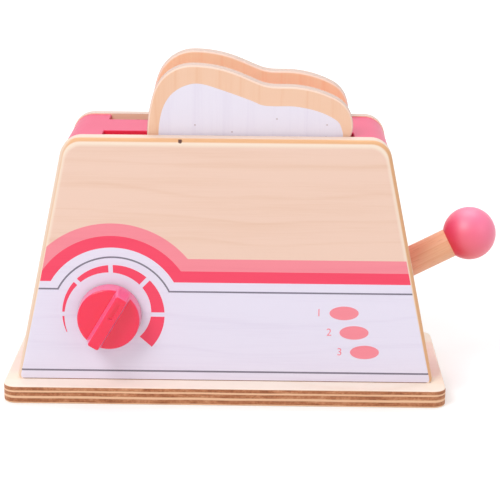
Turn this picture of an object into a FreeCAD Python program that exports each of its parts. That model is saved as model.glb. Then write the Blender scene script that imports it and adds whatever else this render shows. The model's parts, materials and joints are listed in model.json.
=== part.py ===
import FreeCAD, Part
import math
import os
import Sketcher

# A wooden toy toaster: a plywood base, two wooden panels, a painted core with two slots,
# two slices of toast, a seesaw lever that lifts the toast and a dial that turns.
# Millimetres and degrees. X to the right, Y to the back, Z up.
# The origin is the centre of the underside of the base board.

doc = FreeCAD.newDocument("toy_toaster")

# Driving dimensions

SIZES = {
    # base board
    "base_length": 230.0,
    "base_depth": 95.0,
    "base_thickness": 9.5,
    "base_corner_radius": 7.0,
    "base_edge_easing": 0.8,
    # front and back panels
    "panel_bottom_width": 218.0,
    "panel_top_width": 164.0,
    "panel_height": 129.0,
    "panel_thickness": 9.0,
    "panel_top_radius": 11.0,
    "panel_bottom_radius": 2.5,
    "panel_round_over": 3.0,
    # painted core between the panels
    "core_depth": 53.5,
    "core_inset": 0.5,
    "side_thickness": 9.0,
    "top_thickness": 12.0,
    "slot_length": 128.2,
    "slot_x": 0.8,
    "divider_width": 28.0,
    "slot_edge_easing": 0.6,
    # slices of toast
    "toast_width": 104.6,
    "toast_height": 106.0,
    "toast_thickness": 9.5,
    "toast_edge_easing": 1.2,
    "toast_foot_radius": 12.0,
    "toast_waist_radius": 14.0,
    "toast_waist_turn": 30.0,
    "toast_right_radius": 15.5,
    "toast_crest_radius": 54.7,
    "toast_crest_turn": 27.4,
    "toast_crest_flat": 5.3,
    "toast_dip_radius": 23.7,
    "toast_slope_angle": 22.8,
    "toast_slope_length": 9.4,
    "toast_shoulder_radius": 63.8,
    "toast_left_radius": 20.8,
    "toast_left_side_radius": 78.6,
    "toast_left_side_turn": 16.5,
    "toast_lobe_radius": 10.0,
    "toast_end_gap": 0.65,
    "rear_slice_setback": 0.7,
    # lever
    "lever_angle": 27.5,
    "lever_throw": 31.0,
    "lever_pivot_rise": 53.0,
    "lever_rod_diameter": 15.6,
    "lever_reach": 40.5,
    "lever_arm": 70.0,
    "lever_tail_easing": 1.0,
    "lever_ball_diameter": 28.0,
    "lever_ball_bore_stop": 1.0,
    "lever_pin_diameter": 4.0,
    "lever_pin_length": 50.0,
    "cross_bar_diameter": 8.0,
    "cross_bar_overhang": 2.0,
    "bar_end_easing": 0.6,
    # toast lift
    "lift_end_setback": 6.5,
    "lift_panel_gap": 1.25,
    "lift_thickness": 7.5,
    "lift_corner_radius": 3.0,
    "lift_groove_depth": 2.0,
    "lift_groove_gap": 0.4,
    "front_slice_drop": 0.9,
    "cheek_width": 36.0,
    "cheek_height": 53.2,
    "cheek_thickness": 7.0,
    "cheek_spacing": 20.0,
    "cheek_foot_radius": 4.0,
    "cheek_slot_end_gap": 1.0,
    "cheek_slot_drop_gap": 1.0,
    "guide_diameter": 6.0,
    "guide_end_gap": 6.0,
    "guide_offset": 11.6,
    "guide_socket_depth": 5.0,
    # dial
    "dial_x": -59.6,
    "dial_rise": 36.0,
    "dial_angle": 30.6,
    "knob_diameter": 33.0,
    "knob_height": 8.5,
    "knob_draft": 3.0,
    "knob_rim_radius": 1.2,
    "grip_width": 9.9,
    "grip_height": 6.5,
    "grip_draft": 10.5,
    "grip_corner_radius": 3.0,
    "grip_top_radius": 1.1,
    "grip_overhang": 0.7,
    "pointer_width": 1.8,
    "pointer_length": 8.0,
    "pointer_depth": 0.8,
    "pointer_setback": 5.0,
    "spindle_diameter": 5.0,
    "spindle_socket_depth": 8.0,
    "dial_washer_diameter": 14.0,
    "dial_washer_thickness": 0.8,
    "dial_nut_width": 9.0,
    "dial_nut_height": 4.0,
    "dial_end_play": 0.2,
    # fasteners
    "screw_diameter": 3.5,
    "screw_length": 25.0,
    "screw_head_diameter": 7.0,
    "screw_head_height": 2.4,
    "screw_tip_length": 3.0,
    "screw_tip_diameter": 0.9,
    "screw_sink": 0.3,
    "screw_recess_width": 0.9,
    "screw_recess_length": 3.8,
    "screw_recess_depth": 1.4,
    "screw_row_spacing": 75.0,
    "dowel_diameter": 5.0,
    "dowel_length": 14.0,
    "dowel_panel_depth": 5.0,
    "side_dowel_low": 22.0,
    "side_dowel_high": 98.0,
    "top_dowel_setback": 0.88,
    # clearances, on the radius or from face to face
    "glue_gap": 0.02,
    "turning_gap": 0.06,
    "sliding_gap": 0.3,
    "resting_gap": 0.3,
    "screw_hole_gap": 0.25,
}

sheet = doc.addObject("Spreadsheet::Sheet", "Sizes")
for row, (alias, number) in enumerate(SIZES.items(), start=1):
    sheet.set(f"A{row}", alias)
    sheet.set(f"B{row}", str(number))
    sheet.setAlias(f"B{row}", alias)
doc.recompute()


class Size:
    """A number together with the formula of sheet cells that gives it."""

    def __init__(self, formula, number):
        self.formula = formula
        self.number = number

    def __add__(self, other):
        other = as_size(other)
        return Size(f"({self.formula} + {other.formula})", self.number + other.number)

    def __sub__(self, other):
        other = as_size(other)
        return Size(f"({self.formula} - {other.formula})", self.number - other.number)

    def __mul__(self, other):
        other = as_size(other)
        return Size(f"({self.formula} * {other.formula})", self.number * other.number)

    def __truediv__(self, other):
        other = as_size(other)
        return Size(f"({self.formula} / {other.formula})", self.number / other.number)

    def __neg__(self):
        return self * -1

    def __radd__(self, other):
        return as_size(other) + self

    def __rsub__(self, other):
        return as_size(other) - self

    def __rmul__(self, other):
        return as_size(other) * self


def as_size(value):
    return value if isinstance(value, Size) else Size(f"({value})", float(value))


def size(alias):
    return Size(f"Sizes.{alias}", float(sheet.get(alias)))


def sine(angle):
    return Size(f"sin({angle.formula} * 1 deg)", math.sin(math.radians(angle.number)))


def cosine(angle):
    return Size(f"cos({angle.formula} * 1 deg)", math.cos(math.radians(angle.number)))


def lesser(one, other):
    return Size(f"min({one.formula}; {other.formula})", min(one.number, other.number))


# Places worked out from the driving dimensions

BASE_TOP = size("base_thickness")
CORE_HALF = size("core_depth") / 2
BODY_HALF = CORE_HALF + size("panel_thickness")
PANEL_MIDDLE = CORE_HALF + size("panel_thickness") / 2
PANEL_SLOPE = (size("panel_bottom_width") - size("panel_top_width")) / 2 / size("panel_height")
SLOPE_ANGLE = Size(f"(atan({PANEL_SLOPE.formula}) / 1 deg)", math.degrees(math.atan(PANEL_SLOPE.number)))
SIDE_ACROSS = size("side_thickness") / cosine(SLOPE_ANGLE)
TOP_OF_CORE = size("panel_height") - size("core_inset")
TOP_UNDERSIDE = TOP_OF_CORE - size("top_thickness")
SLOT_WIDTH = CORE_HALF - size("divider_width") / 2
SLOT_MIDDLE = CORE_HALF - SLOT_WIDTH / 2


def core_edge(rise):
    """Outer face of the painted core at a height above the base board."""
    return size("panel_bottom_width") / 2 - size("core_inset") - PANEL_SLOPE * rise


def side_middle(rise):
    """Middle of a side board's thickness at a height above the base board."""
    return core_edge(rise) - SIDE_ACROSS / 2


PIVOT_X = side_middle(size("lever_pivot_rise"))
PIVOT_Z = BASE_TOP + size("lever_pivot_rise")
ROD_RADIUS = size("lever_rod_diameter") / 2
ROD_DROP = ROD_RADIUS * cosine(size("lever_angle")) + size("resting_gap")
ROD_TAIL = (size("lever_pivot_rise") - ROD_DROP) / sine(size("lever_angle"))
LEVER_END_ANGLE = size("lever_throw") - size("lever_angle")
BAR_REST_X = PIVOT_X - size("lever_arm") * cosine(size("lever_angle"))
BAR_REST_Z = PIVOT_Z - size("lever_arm") * sine(size("lever_angle"))
BAR_LAST_X = PIVOT_X - size("lever_arm")
CHEEK_X = (BAR_REST_X + BAR_LAST_X) / 2
CHEEK_Y = size("cheek_spacing") / 2 + size("cheek_thickness") / 2
LIFT_UNDERSIDE = BASE_TOP + size("resting_gap") + size("cheek_height")
LIFT_TOP = LIFT_UNDERSIDE + size("lift_thickness")
LIFT_DEPTH = size("core_depth") - 2 * size("lift_panel_gap")
LIFT_LENGTH = size("panel_top_width") - 2 * size("lift_end_setback")
GUIDE_X = LIFT_LENGTH / 2 - size("guide_end_gap")
TOAST_FOOT = LIFT_TOP - size("lift_groove_depth") + size("resting_gap")
SLOT_RIGHT_END = size("slot_x") + size("slot_length") / 2
TOAST_X = SLOT_RIGHT_END - size("toast_end_gap") - size("toast_width") / 2
TOP_DOWEL_RISE = TOP_OF_CORE - size("top_thickness") / 2
TOP_DOWEL_X = (SLOT_RIGHT_END + core_edge(TOP_DOWEL_RISE)) / 2 - size("top_dowel_setback")
DIAL_Z = BASE_TOP + size("dial_rise")
KNOB_STANDOFF = size("dial_washer_thickness") + size("dial_end_play")
SCREW_ROWS = (-size("screw_row_spacing"), Size("0", 0.0), size("screw_row_spacing"))
SHORTEST_WINDOW_SIDE = 0.05

X_AXIS = FreeCAD.Vector(1, 0, 0)
Y_AXIS = FreeCAD.Vector(0, 1, 0)
Z_AXIS = FreeCAD.Vector(0, 0, 1)


# Helpers for bound sizes, sketches and features

def bind(thing, path, value):
    thing.setExpression(path, as_size(value).formula)


def place(thing, x=0, y=0, z=0, axis=None, angle=0, path="Placement"):
    """Put a thing at bound coordinates, turned about an axis by a bound angle."""
    if axis is not None:
        setattr(thing, path, FreeCAD.Placement(FreeCAD.Vector(), FreeCAD.Rotation(axis, as_size(angle).number)))
        if isinstance(angle, Size):
            bind(thing, f"{path}.Rotation.Angle", angle)
    for letter, value in (("x", x), ("y", y), ("z", z)):
        bind(thing, f"{path}.Base.{letter}", value)


def new_body(label, **where):
    body = doc.addObject("PartDesign::Body", label)
    body.Label = label
    place(body, **where)
    return body


def new_sketch(body, name, role, **offset):
    sketch = body.newObject("Sketcher::SketchObject", name)
    plane = next(feature for feature in body.Origin.OriginFeatures if feature.Role == role)
    sketch.AttachmentSupport = [(plane, "")]
    sketch.MapMode = "FlatFace"
    place(sketch, path="AttachmentOffset", **offset)
    return sketch


def bound_constraint(sketch, kind, *where_and_value):
    *where, value = where_and_value
    index = sketch.addConstraint(Sketcher.Constraint(kind, *where, as_size(value).number))
    bind(sketch, f"Constraints[{index}]", value)


def polygon(sketch, corners):
    """Closed outline of straight lines with every corner held by bound coordinates."""
    points = [FreeCAD.Vector(as_size(x).number, as_size(y).number, 0) for x, y in corners]
    lines = []
    for start, end in zip(points, points[1:] + points[:1]):
        lines.append(sketch.addGeometry(Part.LineSegment(start, end), False))
    for line, following in zip(lines, lines[1:] + lines[:1]):
        sketch.addConstraint(Sketcher.Constraint("Coincident", line, 2, following, 1))
    for line, (x, y) in zip(lines, corners):
        bound_constraint(sketch, "DistanceX", line, 1, x)
        bound_constraint(sketch, "DistanceY", line, 1, y)


def rectangle(sketch, width, height, x=0, y=0):
    left, right = x - width / 2, x + width / 2
    low, high = y - height / 2, y + height / 2
    polygon(sketch, [(left, low), (right, low), (right, high), (left, high)])


def circle(sketch, radius, x=0, y=0):
    middle = FreeCAD.Vector(as_size(x).number, as_size(y).number, 0)
    ring = sketch.addGeometry(Part.Circle(middle, Z_AXIS, radius.number), False)
    bound_constraint(sketch, "DistanceX", ring, 3, x)
    bound_constraint(sketch, "DistanceY", ring, 3, y)
    bound_constraint(sketch, "Radius", ring, radius)


def obround(sketch, radius, start, end):
    """Slot outline with round ends: the ends' middles are bound, the sides are tangent."""
    (x1, y1), (x2, y2) = start, end
    first = FreeCAD.Vector(as_size(x1).number, as_size(y1).number, 0)
    last = FreeCAD.Vector(as_size(x2).number, as_size(y2).number, 0)
    heading = math.atan2(last.y - first.y, last.x - first.x)
    aside = FreeCAD.Vector(-math.sin(heading), math.cos(heading), 0) * radius.number
    quarter = math.pi / 2
    arcs = []
    for middle, turn in ((first, heading + quarter), (last, heading - quarter)):
        arc = Part.ArcOfCircle(Part.Circle(middle, Z_AXIS, radius.number), turn, turn + math.pi)
        arcs.append(sketch.addGeometry(arc, False))
    near = sketch.addGeometry(Part.LineSegment(first - aside, last - aside), False)
    far = sketch.addGeometry(Part.LineSegment(last + aside, first + aside), False)
    for one, one_end, other, other_end in ((arcs[0], 2, near, 1), (near, 2, arcs[1], 1),
                                           (arcs[1], 2, far, 1), (far, 2, arcs[0], 1)):
        sketch.addConstraint(Sketcher.Constraint("Tangent", one, one_end, other, other_end))
    for arc, (x, y) in zip(arcs, (start, end)):
        bound_constraint(sketch, "DistanceX", arc, 3, x)
        bound_constraint(sketch, "DistanceY", arc, 3, y)
    bound_constraint(sketch, "Radius", arcs[0], radius)


def rounded_rectangle(sketch, width, height, radius):
    """Upright rectangle about the sketch's origin with tangent corner arcs."""
    across, up = width / 2 - radius, height / 2 - radius
    corners = [(across, up, 0), (-across, up, 90), (-across, -up, 180), (across, -up, 270)]
    arcs = []
    for x, y, start in corners:
        middle = FreeCAD.Vector(x.number, y.number, 0)
        ends = math.radians(start), math.radians(start + 90)
        arcs.append(sketch.addGeometry(Part.ArcOfCircle(Part.Circle(middle, Z_AXIS, radius.number), *ends), False))
    for arc, following in zip(arcs, arcs[1:] + arcs[:1]):
        line = Part.LineSegment(sketch.getPoint(arc, 2), sketch.getPoint(following, 1))
        side = sketch.addGeometry(line, False)
        sketch.addConstraint(Sketcher.Constraint("Tangent", arc, 2, side, 1))
        sketch.addConstraint(Sketcher.Constraint("Tangent", side, 2, following, 1))
    for arc, (x, y, start) in zip(arcs, corners):
        bound_constraint(sketch, "DistanceX", arc, 3, x)
        bound_constraint(sketch, "DistanceY", arc, 3, y)
    bound_constraint(sketch, "Radius", arcs[0], radius)


def pad(body, sketch, length, symmetric=False, taper=None, backwards=False):
    feature = body.newObject("PartDesign::Pad", "Pad")
    feature.Profile = sketch
    feature.SideType = "Symmetric" if symmetric else "One side"
    feature.Reversed = backwards
    bind(feature, "Length", length)
    if taper is not None:
        bind(feature, "TaperAngle", -taper)
    doc.recompute()
    return feature


def pocket_through(body, sketch):
    """Cut a sketch through the whole body, both ways from its plane."""
    doc.recompute()
    before = body.Shape.Volume
    feature = body.newObject("PartDesign::Pocket", "Pocket")
    feature.Profile = sketch
    feature.SideType = "Symmetric"
    feature.Type = "ThroughAll"
    doc.recompute()
    check_cut(body, before)


def pocket_blind(body, sketch, depth, backwards=False):
    doc.recompute()
    before = body.Shape.Volume
    feature = body.newObject("PartDesign::Pocket", "Pocket")
    feature.Profile = sketch
    feature.Reversed = backwards
    bind(feature, "Length", depth)
    doc.recompute()
    check_cut(body, before)


def drill(body, radius, depth, x=0, y=0, z=0, axis=None, angle=0):
    """Cut a round hole that starts at a point and runs along the tool's turned Z axis."""
    doc.recompute()
    before = body.Shape.Volume
    tool = body.newObject("PartDesign::SubtractiveCylinder", "Hole")
    bind(tool, "Radius", radius)
    bind(tool, "Height", depth)
    place(tool, x, y, z, axis, angle)
    doc.recompute()
    check_cut(body, before)


def check_cut(body, before):
    if body.Shape.Volume >= before:
        raise RuntimeError(f"a cut in {body.Label} removes nothing")


def dress(body, kind, value, chosen):
    """Round or bevel the edges of the body that a test picks."""
    doc.recompute()
    tip = body.Tip
    names = [f"Edge{i}" for i, edge in enumerate(tip.Shape.Edges, start=1) if chosen(edge)]
    if not names:
        raise RuntimeError(f"no edge to dress on {body.Label}")
    feature = body.newObject(f"PartDesign::{kind}", kind)
    feature.Base = (tip, names)
    bind(feature, "Radius" if kind == "Fillet" else "Size", value)
    doc.recompute()


def near(one, other):
    return abs(one - as_size(other).number) < 1e-4


def runs_along(edge, axis):
    """True for a straight edge parallel to an axis."""
    if not isinstance(edge.Curve, (Part.Line, Part.LineSegment)):
        return False
    return abs(edge.tangentAt(edge.FirstParameter).dot(axis)) > 0.9999


def lies_at(edge, letter, value):
    """True when the whole edge lies in one plane across X, Y or Z."""
    return all(near(getattr(point, letter.lower()), value) for point in edge.discretize(5))


def round_bar(label, radius, length, easing, **where):
    """Bar about its own Z axis with bevelled ends, its middle at the given place."""
    bar = new_body(label, **where)
    section = new_sketch(bar, label + "_section", "XY_Plane")
    circle(section, radius)
    pad(bar, section, length, symmetric=True)
    dress(bar, "Chamfer", easing, lambda edge: edge.Closed)
    return bar


# Casing

def make_base_board():
    board = new_body("base_board")
    outline = new_sketch(board, "base_outline", "XY_Plane")
    rectangle(outline, size("base_length"), size("base_depth"))
    pad(board, outline, BASE_TOP)
    dress(board, "Fillet", size("base_corner_radius"), lambda edge: runs_along(edge, Z_AXIS))
    dress(board, "Fillet", size("base_edge_easing"),
          lambda edge: lies_at(edge, "Z", 0) or lies_at(edge, "Z", BASE_TOP))
    for x in SCREW_ROWS:
        for y in (-PANEL_MIDDLE, PANEL_MIDDLE):
            drill(board, size("screw_diameter") / 2 + size("screw_hole_gap"), BASE_TOP, x, y)
            countersink(board, x, y)
    for side in (-1, 1):
        drill(board, size("guide_diameter") / 2 + size("glue_gap"), size("guide_socket_depth"),
              side * GUIDE_X, -side * size("guide_offset"),
              BASE_TOP - size("guide_socket_depth"))
    return board


def countersink(board, x, y):
    """Conical seat for a screw head, open at the underside."""
    cone = board.newObject("PartDesign::SubtractiveCone", "Countersink")
    head = size("screw_head_diameter") / 2 + size("screw_hole_gap")
    bind(cone, "Radius1", head + size("screw_sink"))
    bind(cone, "Radius2", size("screw_diameter") / 2 + size("screw_hole_gap"))
    bind(cone, "Height", size("screw_head_height") + size("screw_sink"))
    place(cone, x, y, 0)


def make_panel(label, turn):
    """Wooden panel whose own front is at low Y: the back one is turned half round."""
    panel = new_body(label, axis=Z_AXIS, angle=turn, z=BASE_TOP)
    outline = new_sketch(panel, label + "_outline", "XZ_Plane", z=CORE_HALF)
    bottom = size("panel_bottom_width") / 2
    top = size("panel_top_width") / 2
    height = size("panel_height")
    polygon(outline, [(-bottom, 0), (bottom, 0), (top, height), (-top, height)])
    pad(panel, outline, size("panel_thickness"))
    dress(panel, "Fillet", size("panel_top_radius"),
          lambda edge: lies_at(edge, "Z", height) and runs_along(edge, Y_AXIS))
    dress(panel, "Fillet", size("panel_round_over"),
          lambda edge: lies_at(edge, "Y", -BODY_HALF) and not lies_at(edge, "Z", 0))
    round_panel_feet(panel, label)
    for x in SCREW_ROWS:
        drill(panel, size("screw_diameter") / 2 + size("glue_gap"),
              size("screw_length") - BASE_TOP + size("screw_sink"), x, -PANEL_MIDDLE)
    for x, z in dowel_places():
        drill(panel, size("dowel_diameter") / 2 + size("glue_gap"), size("dowel_panel_depth"),
              x, -CORE_HALF, z, X_AXIS, 90)
    return panel


def round_panel_feet(panel, label):
    """Round the two bottom corners of a panel by cutting away what lies outside an arc."""
    radius = size("panel_bottom_radius")
    half_turn = (90 - SLOPE_ANGLE) / 2
    reach = radius * cosine(half_turn) / sine(half_turn)
    foot = size("panel_bottom_width") / 2
    for side in (-1, 1):
        cutter = new_sketch(panel, f"{label}_foot", "XZ_Plane")
        middle = FreeCAD.Vector(side * (foot - reach).number, radius.number, 0)
        corner = FreeCAD.Vector(side * foot.number, 0, 0)
        floor_end = FreeCAD.Vector(middle.x, 0, 0)
        up_side = FreeCAD.Vector(-side * sine(SLOPE_ANGLE).number, cosine(SLOPE_ANGLE).number, 0)
        wall_end = corner + up_side * reach.number
        bulge = middle + (corner - middle).normalize() * radius.number
        held = [Part.LineSegment(floor_end, corner), Part.LineSegment(corner, wall_end),
                Part.Arc(wall_end, bulge, floor_end)]
        for geometry in held:
            index = cutter.addGeometry(geometry, False)
            cutter.addConstraint(Sketcher.Constraint("Block", index))
        pocket_through(panel, cutter)


def dowel_places():
    """Middles of the dowels that join a panel to the core, above the base board."""
    places = []
    for side in (-1, 1):
        for rise in (size("side_dowel_low"), size("side_dowel_high")):
            places.append((side * side_middle(rise), rise))
        places.append((side * TOP_DOWEL_X, TOP_DOWEL_RISE))
    return places


def make_front_panel():
    panel = make_panel("front_panel", 0)
    drill(panel, size("spindle_diameter") / 2 + size("turning_gap"), size("panel_thickness"),
          size("dial_x"), -CORE_HALF, size("dial_rise"), X_AXIS, 90)
    return panel


def make_back_panel():
    return make_panel("back_panel", 180)


def make_side_board(label, side):
    board = new_body(label, z=BASE_TOP)
    profile = new_sketch(board, label + "_profile", "XZ_Plane")
    low, high = Size("0", 0.0), TOP_UNDERSIDE
    outer_low, outer_high = side * core_edge(low), side * core_edge(high)
    inner_low = side * (core_edge(low) - SIDE_ACROSS)
    inner_high = side * (core_edge(high) - SIDE_ACROSS)
    polygon(profile, [(outer_low, low), (outer_high, high), (inner_high, high), (inner_low, low)])
    pad(board, profile, size("core_depth"), symmetric=True)
    for rise in (size("side_dowel_low"), size("side_dowel_high")):
        for face in (-1, 1):
            drill(board, size("dowel_diameter") / 2 + size("glue_gap"),
                  size("dowel_length") - size("dowel_panel_depth") + size("resting_gap"),
                  side * side_middle(rise), face * CORE_HALF, rise, X_AXIS, 90 * face)
    return board


def make_side_board_right():
    """The right side board has the lever's window, cut square to the leaning board."""
    board = make_side_board("side_board_right", 1)
    lean = max(size("lever_angle").number - SLOPE_ANGLE.number, SLOPE_ANGLE.number + LEVER_END_ANGLE.number)
    swing = math.radians(lean)
    half_height = (size("side_thickness").number / 2 * math.tan(swing) + ROD_RADIUS.number / math.cos(swing)
                   + size("sliding_gap").number)
    window_radius = ROD_RADIUS + 2 * size("sliding_gap")
    span = max(half_height - window_radius.number, SHORTEST_WINDOW_SIDE)
    window = new_sketch(board, "lever_window", "YZ_Plane", x=0, y=size("lever_pivot_rise"), z=PIVOT_X,
                        axis=-X_AXIS, angle=SLOPE_ANGLE)
    obround(window, window_radius, (0, -span), (0, span))
    pocket_through(board, window)
    drill(board, size("lever_pin_diameter") / 2 + size("glue_gap"), size("core_depth"),
          PIVOT_X, CORE_HALF, size("lever_pivot_rise"), X_AXIS, 90)
    return board


def make_top_board():
    """Painted top between the panels: an I in plan, with a slot along each panel."""
    board = new_body("top_board", z=BASE_TOP)
    profile = new_sketch(board, "top_profile", "XZ_Plane")
    low, high = core_edge(TOP_UNDERSIDE), core_edge(TOP_OF_CORE)
    polygon(profile, [(-low, TOP_UNDERSIDE), (low, TOP_UNDERSIDE), (high, TOP_OF_CORE), (-high, TOP_OF_CORE)])
    pad(board, profile, size("core_depth"), symmetric=True)
    corner_radius = size("panel_top_radius") - size("core_inset")
    dress(board, "Fillet", corner_radius,
          lambda edge: lies_at(edge, "Z", TOP_OF_CORE) and runs_along(edge, Y_AXIS))
    for face in (-1, 1):
        slot = new_sketch(board, "toast_slot", "XY_Plane")
        reach = SLOT_WIDTH + size("resting_gap")
        middle = face * (size("divider_width") / 2 + reach / 2)
        rectangle(slot, size("slot_length"), reach, size("slot_x"), middle)
        pocket_through(board, slot)
    half_turn = (90 - SLOPE_ANGLE) / 2
    corner_reach = corner_radius * sine(half_turn) / cosine(half_turn)
    flat_past_slot = core_edge(TOP_OF_CORE) - corner_reach - SLOT_RIGHT_END
    left_end = SLOT_RIGHT_END - size("slot_length")
    dress(board, "Fillet", lesser(size("slot_edge_easing"), flat_past_slot / 2),
          lambda edge: lies_at(edge, "Z", TOP_OF_CORE) and (
              lies_at(edge, "Y", size("divider_width") / 2) or lies_at(edge, "Y", -size("divider_width") / 2)
              or lies_at(edge, "X", SLOT_RIGHT_END) or lies_at(edge, "X", left_end)))
    for side in (-1, 1):
        drill(board, size("guide_diameter") / 2 + size("glue_gap"), size("guide_socket_depth"),
              side * GUIDE_X, -side * size("guide_offset"), TOP_UNDERSIDE)
        for face in (-1, 1):
            drill(board, size("dowel_diameter") / 2 + size("glue_gap"),
                  size("dowel_length") - size("dowel_panel_depth") + size("resting_gap"),
                  side * TOP_DOWEL_X, face * CORE_HALF, TOP_DOWEL_RISE, X_AXIS, 90 * face)
    return board


# Toast

class Path:
    """Outline of lines and arcs that leave each other without a kink."""

    def __init__(self, x, y, heading):
        self.place = FreeCAD.Vector(x, y, 0)
        self.heading = math.radians(heading)
        self.pieces = []

    def line(self, length):
        end = self.place + FreeCAD.Vector(math.cos(self.heading), math.sin(self.heading), 0) * length
        self.pieces.append(Part.LineSegment(self.place, end))
        self.place = end

    def arc(self, radius, turn):
        """Go round an arc: a positive turn is to the left."""
        side = math.copysign(1, turn)
        turn = math.radians(turn)
        aside = FreeCAD.Vector(-math.sin(self.heading), math.cos(self.heading), 0) * (side * radius)
        middle = self.place + aside
        halfway, end = (middle - self.turned(aside, part) for part in (turn / 2, turn))
        self.pieces.append(Part.Arc(self.place, halfway, end))
        self.place = end
        self.heading += turn

    @staticmethod
    def turned(vector, angle):
        return FreeCAD.Rotation(Z_AXIS, math.degrees(angle)).multVec(vector)


def toast_outline():
    """Loaf shape with a high left lobe and a low right one, from the right foot and back to it."""
    values = {name: float(sheet.get(name)) for name in SIZES}
    foot = values["toast_foot_radius"]
    waist = values["toast_waist_radius"]
    waist_turn = values["toast_waist_turn"]
    crest_turn = values["toast_crest_turn"]
    slope = values["toast_slope_angle"]
    side_turn = values["toast_left_side_turn"]

    def upper(path):
        path.arc(waist, -waist_turn)
        path.arc(values["toast_right_radius"], 90 + waist_turn - crest_turn)
        path.arc(values["toast_crest_radius"], crest_turn)
        path.line(values["toast_crest_flat"])
        path.arc(values["toast_dip_radius"], -slope)
        path.line(values["toast_slope_length"])
        path.arc(values["toast_shoulder_radius"], slope)
        path.arc(values["toast_left_radius"], 90 - side_turn)
        path.arc(values["toast_left_side_radius"], side_turn)
        path.arc(values["toast_lobe_radius"], waist_turn)
        path.arc(waist, -waist_turn)

    trial = Path(0, 0, 90)
    upper(trial)
    box = Part.Wire([piece.toShape() for piece in trial.pieces]).BoundBox
    side_height = values["toast_height"] - box.YMax - foot
    right_side = values["toast_width"] / 2 - box.XMax
    path = Path(right_side - foot, 0, 0)
    path.arc(foot, 90)
    path.line(side_height)
    upper(path)
    path.line(path.place.y - foot)
    path.arc(foot, 90)
    path.line(right_side - foot - path.place.x)
    return path.pieces


def make_toast(label, face, setback, drop):
    """Slice in its slot: the setback is to the left and the drop is its deeper groove."""
    slice_of_toast = new_body(label, x=TOAST_X - setback, y=face * SLOT_MIDDLE, z=TOAST_FOOT - drop)
    outline = new_sketch(slice_of_toast, label + "_outline", "XZ_Plane")
    for piece in toast_outline():
        index = outline.addGeometry(piece, False)
        outline.addConstraint(Sketcher.Constraint("Block", index))
    half = size("toast_thickness") / 2
    pad(slice_of_toast, outline, size("toast_thickness"), symmetric=True)
    dress(slice_of_toast, "Fillet", size("toast_edge_easing"),
          lambda edge: lies_at(edge, "Y", half) or lies_at(edge, "Y", -half))
    return slice_of_toast


# Lever: a dowel with a ball, which tips on a pin in the right side board

def make_lever_rod():
    rod = new_body("lever_rod", x=PIVOT_X, z=PIVOT_Z, axis=-Y_AXIS, angle=size("lever_angle"))
    section = new_sketch(rod, "rod_section", "YZ_Plane", z=-ROD_TAIL)
    circle(section, ROD_RADIUS)
    pad(rod, section, ROD_TAIL + size("lever_reach") - size("lever_ball_bore_stop"))
    dress(rod, "Chamfer", size("lever_tail_easing"), lambda edge: lies_at(edge, "X", -ROD_TAIL))
    drill(rod, size("lever_pin_diameter") / 2 + size("turning_gap"), 2 * ROD_RADIUS,
          0, ROD_RADIUS, 0, X_AXIS, 90)
    drill(rod, size("cross_bar_diameter") / 2 + size("glue_gap"), 2 * ROD_RADIUS,
          -size("lever_arm"), ROD_RADIUS, 0, X_AXIS, 90)
    return rod


def make_lever_ball():
    reach = size("lever_reach")
    ball = new_body("lever_ball", x=PIVOT_X + reach * cosine(size("lever_angle")),
                    z=PIVOT_Z + reach * sine(size("lever_angle")), axis=-Y_AXIS, angle=size("lever_angle"))
    sphere = ball.newObject("PartDesign::AdditiveSphere", "Ball")
    bind(sphere, "Radius", size("lever_ball_diameter") / 2)
    depth = size("lever_ball_diameter") / 2 - size("lever_ball_bore_stop") + size("glue_gap")
    drill(ball, ROD_RADIUS + size("glue_gap"), depth, -size("lever_ball_diameter") / 2, 0, 0, Y_AXIS, 90)
    return ball


def make_lever_pivot_pin():
    return round_bar("lever_pivot_pin", size("lever_pin_diameter") / 2, size("lever_pin_length"),
                     size("bar_end_easing"), x=PIVOT_X, z=PIVOT_Z, axis=X_AXIS, angle=90)


def make_lever_cross_bar():
    length = size("cheek_spacing") + 2 * size("cheek_thickness") + 2 * size("cross_bar_overhang")
    return round_bar("lever_cross_bar", size("cross_bar_diameter") / 2, length,
                     size("bar_end_easing"), x=BAR_REST_X, z=BAR_REST_Z, axis=X_AXIS, angle=90)


# Toast lift: a board on two cheeks, which the lever's cross bar raises along two guides

def make_lift_tray():
    """Board with a groove for each slice: the front groove is the deeper one."""
    tray = new_body("lift_tray", z=LIFT_UNDERSIDE)
    outline = new_sketch(tray, "tray_outline", "XY_Plane")
    rectangle(outline, LIFT_LENGTH, LIFT_DEPTH)
    pad(tray, outline, size("lift_thickness"))
    dress(tray, "Fillet", size("lift_corner_radius"), lambda edge: runs_along(edge, Z_AXIS))
    for face, drop in ((-1, size("front_slice_drop")), (1, 0)):
        groove = new_sketch(tray, "toast_groove", "XY_Plane", z=size("lift_thickness"))
        width = size("toast_thickness") + 2 * size("lift_groove_gap")
        rectangle(groove, LIFT_LENGTH + 2 * size("lift_corner_radius"), width, 0, face * SLOT_MIDDLE)
        pocket_blind(tray, groove, size("lift_groove_depth") + drop)
    for side in (-1, 1):
        drill(tray, size("guide_diameter") / 2 + size("sliding_gap"), size("lift_thickness"),
              side * GUIDE_X, -side * size("guide_offset"))
    return tray


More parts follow.
